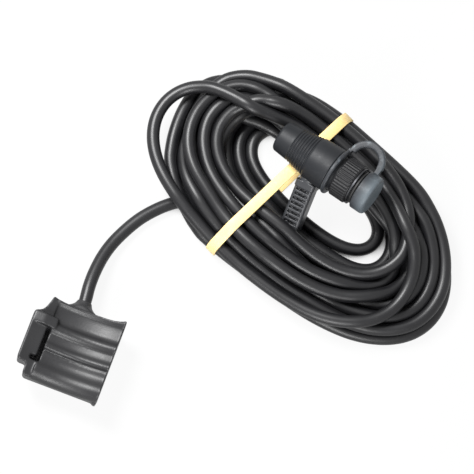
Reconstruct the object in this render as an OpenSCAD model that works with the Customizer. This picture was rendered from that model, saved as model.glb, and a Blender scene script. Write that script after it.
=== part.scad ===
// Strap-on sonar transducer: the head, its coiled cable and its round plug.
// Millimetres, +Z up, the head lies on its flat acoustic face, the cable leaves along +Y.

/* [Head] */
// width of the saddle block across the motor, without the lug
body_w = 39; // [35:0.5:44]
// length of the saddle block along the motor
body_l = 41; // [37:0.5:46]
// height of the saddle seat above the acoustic face
seat_z = 20; // [19:0.5:23]
// radius of the motor that the saddle fits
saddle_r = 45; // [38:1:60]
// how far the strap lug stands out past the block
lug_out = 5; // [4:0.5:7]
// length of the strap lug along the motor
lug_l = 26; // [23:0.5:29]
// height of the underside of the lug
lug_z = 13; // [11:0.5:14.5]
// width of the strap slot
slot_w = 2; // [1.6:0.1:3]
// length of the strap slot
slot_l = 17.7; // [14:0.1:19]
// wall of the housing round the cavity
wall = 2; // [1.6:0.1:2.4]
// how far the cup is set in under the end roll
cup_back = 5; // [3:0.5:6]
// how far the cup is set in under the right edge
cup_in = 2; // [1:0.5:3]
// how far the shoulder under the slot stands out from the cup
shoulder = 6.5; // [4.5:0.5:7]
// height of the shoulder under the slot
shoulder_z = 8; // [6:0.5:8.5]
// radius of the root of the cable flare
flare_r = 10.5; // [9:0.5:11]
// length of the cable flare
flare_l = 6; // [5:0.5:9]

/* [Element] */
// clearance round the element in the cup
disc_gap = 0.5; // [0.3:0.1:1.5]
// thickness of the ceramic disc
disc_t = 10; // [8:0.25:10.5]
// thickness of the acoustic window
window_t = 1.6; // [1.2:0.1:2]
// thickness of the isolation sleeve and of the backing pad
pad_t = 2; // [1.5:0.1:2.1]

/* [Cable] */
// diameter of the cable
cable_d = 6.4; // [5.6:0.1:7]
// height of the cable where it leaves the head
exit_z = 11; // [9:0.5:11.5]

/* [Coil] */
// half length of the coil over its outer turns
coil_a = 88; // [80:1:98]
// half width of the coil over its outer turns
coil_b = 48; // [45:1:53]
// half length of the opening
eye_a = 46; // [40:1:50]
// half width of the opening
eye_b = 13.5; // [12:0.5:15]
// height of the top of the stacked side
stack_z = 21; // [19:0.5:22]
// height of the turns on the near side
pile_z = 19; // [17.5:0.5:20]
// width of the rubber band
band_w = 5.6; // [4:0.2:8]
// thickness of the rubber band
band_t = 1; // [0.8:0.1:1.2]

/* [Plug] */
// radius of the smooth front of the plug body
shell_r = 11.6; // [11:0.1:12.4]
// radius of the plug body at the middle of its grooved grip
grip_r = 9.8; // [9.4:0.1:10.4]
// how much the grip's radius grows for each millimetre towards the front
grip_taper = 0.18; // [0.1:0.01:0.2]
// radius of the plug body at its closed end
tail_r = 8.1; // [7.6:0.1:8.6]
// depth of the grip grooves
groove_d = 0.6; // [0.3:0.1:0.8]
// number of grip grooves
grooves = 8; // [6:1:10]
// radius of the coupling ring over its ribs
ring_r = 10.6; // [10.4:0.1:11.4]
// number of ribs on the coupling ring
ring_ribs = 40; // [24:1:48]
// length of the coupling ring
ring_l = 9.2; // [8:0.1:9.2]
// running clearance of the coupling ring
ring_gap = 0.3; // [0.25:0.05:0.4]
// number of contact pins
pins = 5; // [3:1:6]
// width of the cable boot
boot_w = 9.9; // [9.6:0.1:11.4]
// depth of the cable boot
boot_h = 9.2; // [8.8:0.1:10]
// length of the slotted part of the boot
boot_l = 22.5; // [20:0.5:23]
// number of slots along the boot
boot_slots = 9; // [6:1:9]

/* [Dust cap] */
// radius of the cap
cap_r = 10.2; // [9.6:0.1:11]
// length of the cap
cap_l = 7.6; // [7:0.1:9]
// radius of the strap's bow
bow_r = 8; // [7.5:0.1:8.5]
// width of the strap
strap_w = 3.6; // [3.2:0.1:4.6]

/* [Hidden] */
$fn = 64;
eps = 0.01;

// head frame: the block and the lug are centred together on X, the block and the flare on Y
x_right = (body_w + lug_out) / 2;
x_left = x_right - body_w;
x_lug = x_left - lug_out;
lip = 0.9;
y_front = (body_l + flare_l + lip) / 2 - flare_l;
y_back = y_front - body_l;
y_tip = y_front + flare_l;
cup_left = x_left + 6;
cup_x = x_right - cup_in;
cup_y = y_back + cup_back;
cup_cx = (cup_left + cup_x) / 2;
saddle_cx = (x_left + x_right) / 2;
axis_z = seat_z + saddle_r;
block_z = seat_z + 6.5;
cav_top = seat_z - 3.8;
cav_front = y_front - 3.5;
exit_x = -1;
lug_top = y_front - 8.7;
slot_y = lug_top - 5.9;
slot_x = x_left + 3.6;
disc_z = window_t + disc_t;
pad_z = disc_z + pad_t;
cable_r = cable_d / 2;
bore_r = cable_r + 0.1;
clamp_y = cav_front - 3.4;
drop_y = clamp_y - 0.6;
sleeve_r = min((cup_x - cup_left) / 2 - wall, (drop_y - 1 - cup_y - wall) / 2) - disc_gap;
disc_r = sleeve_r - pad_t;
disc_y = cup_y + wall + disc_gap + sleeve_r;
wire_z = pad_z + 0.9;
wire_r = 0.6;

// saddle section along the motor: place along the block, depth below the motor's own radius
seat_run = [[0, 2.6], [0.6, 1.3], [1.5, 0], [2.6, -0.8], [4, -1.4], [5.4, -1.5], [6.8, -1.2],
    [8, -0.5], [9.2, 0.2], [10.6, 0.7], [12, 0.9], [13.4, 0.6], [14.4, 0.3], [14.9, 0.2],
    [15.1, 0.9], [15.7, 0.9], [15.9, -0.3], [16.5, -1], [17.5, -1.4], [18.6, -1.1], [19.4, -0.5],
    [20.2, 0], [21.6, 0.3], [23.6, 0.3], [23.8, 1], [24.3, 1], [24.5, 0], [25.2, -0.8],
    [26, -1.4], [27.2, -1.7], [28.4, -1.4], [29.2, -0.7], [29.8, 0], [30.4, 0.6], [32, 1.2],
    [36, 1.2], [38.4, 1], [39.3, 0.2], [40, -0.4], [41, -0.6]];
run_k = body_l / 41;

// cable lead: from the crimp in the head, out of the flare, down to the floor and to the coil
lead_run = [[exit_x, clamp_y, exit_z], [exit_x, cav_front, exit_z], [exit_x, y_front, exit_z],
    [exit_x, y_tip, exit_z], [-1.8, 31, 10.6], [-2, 39, 9], [-1.1, 49, 6.6], [1.2, 58.2, 4.8],
    [5.2, 67.5, 3.8], [9.7, 75.3, 3.5], [15.3, 82.2, 3.4], [20.9, 87.5, 3.4], [26.7, 91.4, 3.4], [33.5, 94.4, 3.4]];

// coil frame, on its long axis
coil_at = [81.7, 109, 0];
coil_yaw = -19.3;
coil_off = [1, 1];
layer = [6.4, 13, stack_z];
eye_y = 12.5;
pile_y = -19.5;

// band frame, across the coil
band_at = [-15, 0, 0];
band_yaw = -6;
band_gap = 0.9;

// plug frame: X runs forward along the plug
plug_at = [91.3, 124.5, 34.4];
plug_yaw = -16.3;
plug_pitch = 9;
tail_end = -33;
shell_back = -12.4;
neck_r = 9.5;
sleeve_end = 13.4;
core_r = 9;
nose_r = 7.6;
nose_end = 20;
chamber_r = 5;
groove_run = 11.4;
ring_at = 2.7;
clip_at = ring_at + 9.2 + ring_gap;
cap_at = 15.2;
bow_at = 9.4;
bow_n = 13;
bow_roll = 14;
strap_t = 3.2;

// boot frame: the boot hangs along -Z from the plug's own axis
boot_t = -11;
boot_roll = -55;
boot_lean = 8;
stem_r = 5;
boot_root = shell_r + 0.2;
boot_head = 3.4;
tail_run = [[0, 0, -10], [0, 0, -20], [0, 0, -32], [0, 0, -41], [0.3, 0.3, -45], [1.2, 1.4, -50]];

// points of a rounded rectangle with its corner at the origin
function rounded(w, l, r, n = 5) = [for (c = [[w - r, l - r, 0], [r, l - r, 90], [r, r, 180], [w - r, r, 270]])
    for (i = [0:n]) [c[0] + r * cos(c[2] + 90 * i / n), c[1] + r * sin(c[2] + 90 * i / n)]];

// points of an ellipse
function oval(c, a, b, n = 72) = [for (i = [0:n - 1]) [c[0] + a * cos(360 * i / n), c[1] + b * sin(360 * i / n)]];

// sweep of a round section along a run of points, the section kept upright
function unit(v) = v / norm(v);
function heading(run, i) = unit(run[min(i + 1, len(run) - 1)] - run[max(i - 1, 0)]);
function side_of(t) = unit(cross(t, abs(t[2]) > 0.9 ? [1, 0, 0] : [0, 0, 1]));
function ring_pts(p, t, r, n) = let (s = side_of(t), u = cross(s, t))
    [for (k = [0:n - 1]) p + r * (cos(360 * k / n) * s + sin(360 * k / n) * u)];
module sweep(run, r, n = 12) {
    m = len(run);
    pts = [for (i = [0:m - 1]) each ring_pts(run[i], heading(run, i), r, n)];
    sides = [for (i = [0:m - 2]) for (k = [0:n - 1])
        [i * n + k, i * n + (k + 1) % n, (i + 1) * n + (k + 1) % n, (i + 1) * n + k]];
    caps = [[for (k = [0:n - 1]) n - 1 - k], [for (k = [0:n - 1]) (m - 1) * n + k]];
    polyhedron(points = pts, faces = concat(sides, caps), convexity = 6);
}

// motor-shaped cutter with the seat's ridges, along Y
module seat_cutter() {
    run = [for (p = seat_run) [saddle_r + p[1], y_back + p[0] * run_k]];
    pts = concat([[0, y_back - 1], [run[0][0], y_back - 1]], run,
        [[run[len(run) - 1][0], y_front + 3], [0, y_front + 3]]);
    translate([saddle_cx, 0, axis_z])
        rotate([-90, 0, 0])
            rotate_extrude($fn = 128)
                polygon(pts);
}

// side of the flare, from the head's wall to its tip
function flare_side() = [for (i = [0:8]) let (s = i / 8)
    [cable_r + 0.6 + (flare_r - cable_r - 0.6) * pow(1 - s, 2.2), 0.5 + s * flare_l]];

// the motor's plain round body, which shapes the top of the lug
module lug_cutter() {
    translate([saddle_cx, y_back - 1, axis_z])
        rotate([-90, 0, 0])
            cylinder(r = saddle_r + 0.2, h = body_l + 2, $fn = 128);
}

// plan of the upper saddle plate with the lug and the sweep up to the left horn
module saddle_plan() {
    polygon([[x_right, y_back + 0.8], [x_right, y_front + 1.5], [x_right - 0.4, y_front + 1.7],
        [x_right - 1.4, y_front + 1.2], [x_right - 3.2, y_front + 0.6], [x_right - 5.6, y_front + 0.2],
        [x_right - 9, y_front], [x_left + 7, y_front], [x_left + 4.2, y_front + 0.3],
        [x_left + 2.4, y_front + 0.8], [x_left + 1.5, y_front + 0.9], [x_left + 0.6, y_front - 2.4], [x_left - 0.2, y_front - 5],
        [x_left - 1.4, y_front - 7.2], [x_lug + 1.4, lug_top], [x_lug + 0.4, lug_top - 0.4],
        [x_lug, lug_top - 1.4], [x_lug, lug_top - lug_l + 1.2], [x_lug + 0.4, lug_top - lug_l + 0.3],
        [x_lug + 1.2, lug_top - lug_l], [x_left - 0.4, lug_top - lug_l], [x_left, lug_top - lug_l - 0.5],
        [x_left, y_back + 1.2], [x_left + 1.2, y_back], [x_right - 0.8, y_back]]);
}

module strap_slot() {
    translate([slot_x, slot_y - slot_l, lug_z - 1])
        cube([slot_w, slot_l, 30]);
    translate([slot_x - 3, slot_y - slot_l, lug_z - 1])
        cube([3 + eps, 2.4, 30]);
}

module cavity() {
    translate([cup_left + wall, cup_y + wall, window_t])
        cube([cup_x - cup_left - 2 * wall, cav_front - cup_y - wall, cav_top - window_t]);
}

module housing() {
    color("#26272a")
        difference() {
            union() {
                difference() {
                    union() {
                        translate([cup_left, cup_y, 0])
                            linear_extrude(block_z)
                                polygon(rounded(cup_x - cup_left, y_front - cup_y, 1.2));
                        translate([cup_left - shoulder, cup_y, 0])
                            linear_extrude(shoulder_z)
                                polygon(rounded(shoulder + 2 * wall, lug_top - cup_y, 2));
                        translate([0, 0, lug_z])
                            linear_extrude(block_z - lug_z)
                                saddle_plan();
                    }
                    intersection() {
                        seat_cutter();
                        translate([slot_x + slot_w / 2, y_back - 2, 0])
                            cube([2 * body_w, body_l + 4, 2 * axis_z]);
                    }
                    intersection() {
                        lug_cutter();
                        translate([slot_x + slot_w / 2 + eps - 2 * body_w, y_back - 2, 0])
                            cube([2 * body_w, body_l + 4, 2 * axis_z]);
                    }
                }
                difference() {
                    translate([x_lug + 0.8, lug_top - 5.9, lug_z + 1])
                        cube([12, 5.5, block_z - lug_z - 1]);
                    translate([saddle_cx, 0, axis_z])
                        rotate([90, 0, 0])
                            cylinder(r = saddle_r - 2.4, h = 80, center = true, $fn = 128);
                }
                intersection() {
                    translate([exit_x, y_front - 0.5, exit_z])
                        rotate([-90, 0, 0])
                            rotate_extrude()
                                polygon(concat([[0, 0], [flare_r, 0]], flare_side(), [[0, 0.5 + flare_l]]));
                    translate([x_lug, y_front - 2, 1])
                        cube([body_w + lug_out, flare_l + 4, exit_z + 5]);
                }
                translate([x_right - 2.2, y_back - lip, lug_z + 1])
                    cube([1.9, lip + 1, seat_z - lug_z - 2]);
            }
            cavity();
            translate([cup_left + wall - 0.8, cup_y + wall - 0.8, -1])
                cube([cup_x - cup_left - 2 * wall + 1.6, cav_front - cup_y - wall + 1.6, window_t + 1 + eps]);
            translate([exit_x, cav_front - 1, exit_z])
                rotate([-90, 0, 0])
                    cylinder(r = bore_r, h = flare_l + body_l / 2);
            strap_slot();
        }
}

module acoustic_window() {
    color("#303236")
        translate([cup_left + wall - 0.8, cup_y + wall - 0.8, 0])
            cube([cup_x - cup_left - 2 * wall + 1.6, cav_front - cup_y - wall + 1.6, window_t]);
}

module piezo_disc() {
    color("#d8cfb8")
        translate([cup_cx, disc_y, window_t])
            cylinder(r = disc_r, h = disc_t);
}

module isolation_sleeve() {
    color("#a9814f")
        translate([cup_cx, disc_y, window_t])
            difference() {
                cylinder(r = sleeve_r, h = disc_t);
                translate([0, 0, -1])
                    cylinder(r = disc_r, h = disc_t + 2);
            }
}

module wire_drops(r) {
    for (sx = [-2, 2])
        translate([exit_x + sx, disc_y, disc_z])
            cylinder(r = r, h = wire_z - disc_z, $fn = 24);
}

module backing_pad() {
    color("#b08a58")
        difference() {
            translate([cup_cx, disc_y, disc_z])
                cylinder(r = sleeve_r, h = pad_t);
            wire_drops(wire_r);
        }
}

module wire_set(r) {
    wire_drops(r);
    for (sx = [-2, 2]) {
        translate([exit_x + sx, disc_y, wire_z])
            sphere(r = r, $fn = 24);
        translate([exit_x + sx, disc_y, wire_z])
            rotate([-90, 0, 0])
                cylinder(r = r, h = drop_y - disc_y, $fn = 24);
        translate([exit_x + sx, drop_y, wire_z])
            sphere(r = r, $fn = 24);
        translate([exit_x + sx, drop_y, exit_z])
            cylinder(r = r, h = wire_z - exit_z, $fn = 24);
    }
}

module signal_wires() {
    color("#c46a3a")
        wire_set(wire_r);
}

module crimp_ring() {
    color("#c9a24a")
        translate([exit_x, clamp_y, exit_z])
            rotate([-90, 0, 0])
                difference() {
                    cylinder(r = cable_r + 1, h = 3);
                    translate([0, 0, -1])
                        cylinder(r = bore_r, h = 5);
                }
}

module potting_fill() {
    color("#4a4034")
        difference() {
            cavity();
            translate([cup_cx, disc_y, 0])
                cylinder(r = sleeve_r, h = pad_z);
            wire_set(wire_r);
            translate([exit_x, clamp_y, exit_z])
                rotate([-90, 0, 0])
                    cylinder(r = bore_r, h = 10);
            translate([exit_x, clamp_y, exit_z])
                rotate([-90, 0, 0])
                    cylinder(r = cable_r + 1, h = 3);
        }
}

module cable_lead() {
    color("#1d1e20")
        sweep(lead_run, cable_r);
}

module coil_frame() {
    translate(coil_at)
        rotate([0, 0, coil_yaw])
            children();
}

module coil_layer(z0, z1, trim, eye, ea, eb) {
    translate([0, 0, z0])
        linear_extrude(z1 - z0)
            difference() {
                polygon(oval(coil_off, coil_a - trim, coil_b - trim));
                polygon(oval(eye, ea, eb));
            }
}

module cable_coil() {
    color("#1d1e20")
        difference() {
            coil_frame() {
                coil_layer(0, layer[0], 0, [0, eye_y], eye_a, eye_b);
                coil_layer(layer[0] - eps, layer[1], 1.5, [0, eye_y - 7], eye_a + 8, eye_b + 7);
                coil_layer(layer[1] - eps, layer[2], 3.5, [0, eye_y - 26.5], coil_a + 6, 26.5 + eye_b);
                coil_layer(layer[1] - eps, pile_z, 9, [0, 60 + pile_y], coil_a + 6, 60);
            }
            band_frame()
                translate([-band_w / 2 - 0.2, -80, -1])
                    cube([band_w + 0.4, 160, band_t + 1.05]);
        }
}

module cable_tail() {
    color("#1d1e20")
        boot_frame()
            sweep(tail_run, cable_r);
}

module band_frame() {
    coil_frame()
        translate(band_at)
            rotate([0, 0, band_yaw])
                children();
}

// the loop that the band makes round the coil, drawn across the coil, grown outwards by g
function band_loop(g) = let (
    l = coil_off[1] - coil_b * sqrt(1 - pow(22 / coil_a, 2)) - band_gap,
    r = coil_off[1] + coil_b + band_gap,
    top = eye_y + eye_b)
    [[l + 1 - g * 0.4, band_t - g], [r - 1 + g * 0.4, band_t - g], [r + g * 0.7, band_t + 1 - g * 0.7],
        [r + g, layer[0]], [r - 1.6 + g, layer[1]], [r - 4 + g, stack_z - 1.6],
        [r - 4.4 + g * 0.7, stack_z + 0.05 + g * 0.7], [r - 6.4 + g * 0.3, stack_z + 0.1 + g],
        [top - 1, stack_z + 0.1 + g], [eye_y + 9, stack_z - 0.4 + g], [eye_y + 3, stack_z - 0.8 + g],
        [l + 9.4, pile_z + 0.5 + g], [l + 7.6 - g * 0.7, pile_z - 0.4 + g * 0.7],
        [l + 1.3 - g * 0.7, layer[1] + g * 0.7], [l + 0.7 - g, layer[1] - 1.2],
        [l - g, layer[0]], [l - g * 0.7, band_t + 1 - g * 0.7]];

module rubber_band() {
    color("#e8d49a")
        band_frame()
            rotate([90, 0, 90])
                linear_extrude(band_w, center = true)
                    difference() {
                        polygon(band_loop(band_t));
                        polygon(band_loop(0));
                    }
}

module plug_frame() {
    translate(plug_at)
        rotate([0, 0, plug_yaw])
            rotate([0, -plug_pitch, 0])
                children();
}

// turned piece along the plug: pairs of place along the plug and radius
module turned(run) {
    plug_frame()
        rotate([0, 90, 0])
            rotate_extrude()
                polygon([for (p = run) [p[1], p[0]]]);
}

// radius of the grip at a place along the plug
function grip_at(t) = grip_r + grip_taper * (t - shell_back + 0.6 + groove_run / 2);

// grip from the closed end to the smooth front, with its grooves
function grip_run() = let (g0 = shell_back - 0.6, w = groove_run / grooves)
    [for (i = [0:grooves - 1]) let (t = g0 - i * w, r = grip_at(t)) each [[t, r], [t - w * 0.55, r - w * 0.1],
        [t - w * 0.62, r - groove_d], [t - w * 0.93, r - groove_d - w * 0.06]]];

module plug_shell() {
    color("#2c2d30")
        difference() {
            turned(concat([[tail_end, 0], [tail_end, tail_r - 1.2], [tail_end + 0.4, tail_r - 0.5],
                [tail_end + 1.2, tail_r], [shell_back - 1.4 - groove_run, grip_at(shell_back - groove_run)]],
                [for (i = [0:4 * grooves - 1]) grip_run()[4 * grooves - 1 - i]],
                [[shell_back, grip_at(shell_back) + 0.1], [shell_back + 5, shell_r - 0.2],
                [-1.4, shell_r], [-1, shell_r - 0.4], [-1, neck_r], [1.2, neck_r], [1.2, core_r],
                [clip_at, core_r], [clip_at, core_r - 0.7], [clip_at + 0.8, core_r - 0.7],
                [clip_at + 0.8, core_r], [sleeve_end, core_r], [sleeve_end, nose_r], [-6, nose_r], [-6, chamber_r],
                [-18, chamber_r], [-18, 0]]));
            boot_frame()
                translate([0, 0, -30])
                    cylinder(r = stem_r, h = 30 - 4);
            boot_frame()
                translate([-boot_w, -boot_h, -boot_root - 20])
                    cube([2 * boot_w, 2 * boot_h, 20.8]);
        }
}

module pin_places() {
    for (i = [0:pins - 1])
        rotate([360 * i / pins, 0, 0])
            translate([0, 0, 3.6])
                children();
}

module contact_carrier() {
    color("#3a3b3e")
        difference() {
            turned([[-6, 0], [-6, nose_r], [nose_end - 0.4, nose_r], [nose_end, nose_r - 0.4],
                [nose_end, nose_r - 1.4], [12, nose_r - 1.4], [12, 0]]);
            plug_frame()
                pin_places()
                    translate([-8, 0, 0])
                        rotate([0, 90, 0])
                            cylinder(r = 0.8, h = 30, $fn = 24);
        }
}

module contact_pins() {
    color("#c9a24a")
        plug_frame()
            pin_places()
                translate([-8, 0, 0])
                    rotate([0, 90, 0])
                        cylinder(r = 0.8, h = 26.4, $fn = 24);
}

module plug_wires() {
    color("#a33a30")
        plug_frame()
            pin_places()
                translate([-14.5, 0, 0])
                    rotate([0, 90, 0])
                        cylinder(r = 0.6, h = 6.5, $fn = 24);
}

module seal_ring() {
    color("#131314")
        turned([[sleeve_end, nose_r], [sleeve_end, nose_r + 0.9], [sleeve_end + 0.3, nose_r + 1.2],
            [sleeve_end + 1, nose_r + 1.2], [sleeve_end + 1.3, nose_r + 0.9], [sleeve_end + 1.3, nose_r]]);
}

module coupling_ring() {
    n = ring_ribs * 4;
    color("#202124")
        plug_frame()
            translate([ring_at + 9.2 - ring_l, 0, 0])
                rotate([0, 90, 0])
                    difference() {
                        union() {
                            translate([0, 0, 0.6])
                                linear_extrude(ring_l - 1.2)
                                    polygon([for (i = [0:n - 1]) let (r = ring_r - (i % 4 < 2 ? 0 : 0.35))
                                        [r * cos(360 * i / n), r * sin(360 * i / n)]]);
                            cylinder(r = ring_r - 0.5, h = ring_l);
                        }
                        translate([0, 0, -1])
                            cylinder(r = core_r + ring_gap, h = ring_l + 2);
                    }
}

module retaining_clip() {
    color("#8f9296")
        difference() {
            turned([[clip_at, core_r - 0.7], [clip_at, core_r + 1], [clip_at + 0.8, core_r + 1],
                [clip_at + 0.8, core_r - 0.7]]);
            plug_frame()
                translate([clip_at - 1, -1.5, -20])
                    cube([3, 3, 20]);
        }
}

module boot_frame() {
    plug_frame()
        translate([boot_t, 0, 0])
            rotate([boot_roll, 0, 0])
                rotate([0, -boot_lean, 0])
                    children();
}

module cable_boot() {
    pitch = boot_l / boot_slots;
    color("#242528")
        boot_frame()
            difference() {
                union() {
                    translate([0, 0, -boot_root - 1])
                        cylinder(r = stem_r, h = 1 + boot_root - 10);
                    translate([-boot_w / 2 - 0.4, -boot_h / 2 - 0.4, -boot_root - boot_head])
                        linear_extrude(boot_head)
                            polygon(rounded(boot_w + 0.8, boot_h + 0.8, 1.6));
                    translate([-boot_w / 2, -boot_h / 2, -boot_root - boot_head - boot_l])
                        linear_extrude(boot_l + eps)
                            polygon(rounded(boot_w, boot_h, 1.6));
                }
                translate([0, 0, -60])
                    cylinder(r = bore_r, h = 60);
                for (i = [0:boot_slots - 1])
                    for (s = [-1, 1])
                        translate([-boot_w / 2 + 1.5, s > 0 ? boot_h / 2 - 1.5 : -boot_h / 2 - 1,
                            -boot_root - boot_head - (i + 0.75) * pitch])
                            cube([boot_w - 3, 2.5, pitch * 0.5]);
            }
}

module dust_cap() {
    color("#6d777c") {
        turned([[cap_at, nose_r + 0.05], [cap_at, cap_r - 0.4], [cap_at + 0.4, cap_r],
            [cap_at + cap_l - 1.6, cap_r], [cap_at + cap_l - 0.5, cap_r - 0.5],
            [cap_at + cap_l, cap_r - 1.6], [cap_at + cap_l, 0], [nose_end + 0.2, 0],
            [nose_end + 0.2, nose_r + 0.05]]);
        turned([[-0.95, neck_r], [-0.95, 11.8], [-0.5, 12.2], [0.7, 12.2], [1.15, 11.8], [1.15, neck_r]]);
        plug_frame()
            rotate([bow_roll, 0, 0]) {
                translate([bow_at, bow_n, 0])
                    rotate_extrude(angle = 180)
                        translate([bow_r - strap_w / 2, -strap_t / 2])
                            polygon(rounded(strap_w, strap_t, strap_t / 4, 3));
                translate([-0.95, neck_r + 1.5, -strap_t / 2])
                    cube([2.1, bow_n - neck_r - 0.9, strap_t]);
                translate([bow_at + bow_r - strap_w / 2 + 0.5, cap_r - 2, -strap_t / 2])
                    cube([strap_w - 0.8, bow_n - cap_r + 2.6, strap_t]);
            }
    }
}

housing();
acoustic_window();
piezo_disc();
isolation_sleeve();
backing_pad();
potting_fill();
signal_wires();
crimp_ring();
cable_lead();
cable_coil();
cable_tail();
rubber_band();
plug_shell();
contact_carrier();
contact_pins();
plug_wires();
seal_ring();
coupling_ring();
retaining_clip();
cable_boot();
dust_cap();
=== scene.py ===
"""Dressed model of a strap-on sonar transducer: its head, its coiled cable and its capped plug.

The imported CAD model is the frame. The cable and the rubber band are worked out here as swept surfaces,
the mouldings are the CAD shapes with the soft edges of a moulding, and every piece gets a procedural finish.
"""
import logging
import math
from dataclasses import dataclass, field
from enum import Enum
from functools import cache
from typing import Any, Sequence

import bpy
import numpy as np
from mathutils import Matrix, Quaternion, Vector


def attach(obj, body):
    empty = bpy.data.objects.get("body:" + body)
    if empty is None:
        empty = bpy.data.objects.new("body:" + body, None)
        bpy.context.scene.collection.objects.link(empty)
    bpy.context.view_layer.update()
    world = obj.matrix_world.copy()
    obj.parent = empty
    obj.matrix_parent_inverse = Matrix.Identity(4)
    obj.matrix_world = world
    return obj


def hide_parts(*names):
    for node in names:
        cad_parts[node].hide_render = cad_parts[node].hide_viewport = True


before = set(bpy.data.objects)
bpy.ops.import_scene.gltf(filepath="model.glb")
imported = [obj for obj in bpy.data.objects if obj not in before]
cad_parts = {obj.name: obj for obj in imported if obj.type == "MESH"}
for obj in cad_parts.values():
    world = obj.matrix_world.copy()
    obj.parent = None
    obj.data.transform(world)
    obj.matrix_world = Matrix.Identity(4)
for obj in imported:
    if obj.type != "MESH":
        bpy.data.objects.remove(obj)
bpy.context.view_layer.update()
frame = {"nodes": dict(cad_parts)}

logging.basicConfig(level=logging.INFO, format="%(message)s")
log = logging.getLogger("transducer")

MM = 0.001
Array = np.ndarray
Colour = tuple[float, float, float]
Vec3 = tuple[float, float, float]


class Body(Enum):
    """The bodies that pieces ride on."""

    MAIN = "transducer"
    RING = "plug_ring"


class Slot(Enum):
    """The record's material slots."""

    HOUSING = "housing"
    WINDOW = "window"
    CERAMIC = "ceramic"
    CORK = "cork"
    RESIN = "resin"
    WIRE = "wire"
    BRASS = "brass"
    JACKET = "jacket"
    BAND = "band"
    PLUG = "plug_black"
    CARRIER = "carrier"
    SEAL = "seal"
    RING = "ring_black"
    CLIP = "clip"
    BOOT = "boot"
    CAP = "cap_grey"


# Shader maths


class Expr:
    """A shader socket that takes part in ordinary arithmetic."""

    def __init__(self, graph: "Graph", socket: bpy.types.NodeSocket) -> None:
        """Keep the socket and the graph that it belongs to.

        Args:
            graph: the material's graph.
            socket: the output that this expression stands for.
        """
        self.graph = graph
        self.socket = socket

    def _math(self, operation: str, a: Any, b: Any) -> "Expr":
        """Join two values by a Math node.

        Args:
            operation: the Math node's operation.
            a: first value.
            b: second value.

        Returns:
            The node's result.
        """
        return self.graph.node("ShaderNodeMath", {0: a, 1: b}, operation=operation)

    def __add__(self, other: Any) -> "Expr":
        """Sum, this first."""
        return self._math("ADD", self, other)

    def __radd__(self, other: Any) -> "Expr":
        """Sum, this second."""
        return self._math("ADD", other, self)

    def __sub__(self, other: Any) -> "Expr":
        """Difference, this first."""
        return self._math("SUBTRACT", self, other)

    def __rsub__(self, other: Any) -> "Expr":
        """Difference, this second."""
        return self._math("SUBTRACT", other, self)

    def __mul__(self, other: Any) -> "Expr":
        """Product, this first."""
        return self._math("MULTIPLY", self, other)

    def __rmul__(self, other: Any) -> "Expr":
        """Product, this second."""
        return self._math("MULTIPLY", other, self)

    def step(self, low: float, high: float) -> "Expr":
        """Smooth step from 0 at low to 1 at high.

        Args:
            low: value that gives 0.
            high: value that gives 1.

        Returns:
            The stepped value.
        """
        return self.graph.node("ShaderNodeMapRange", {"Value": self, "From Min": low, "From Max": high},
                               interpolation_type="SMOOTHSTEP")


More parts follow.
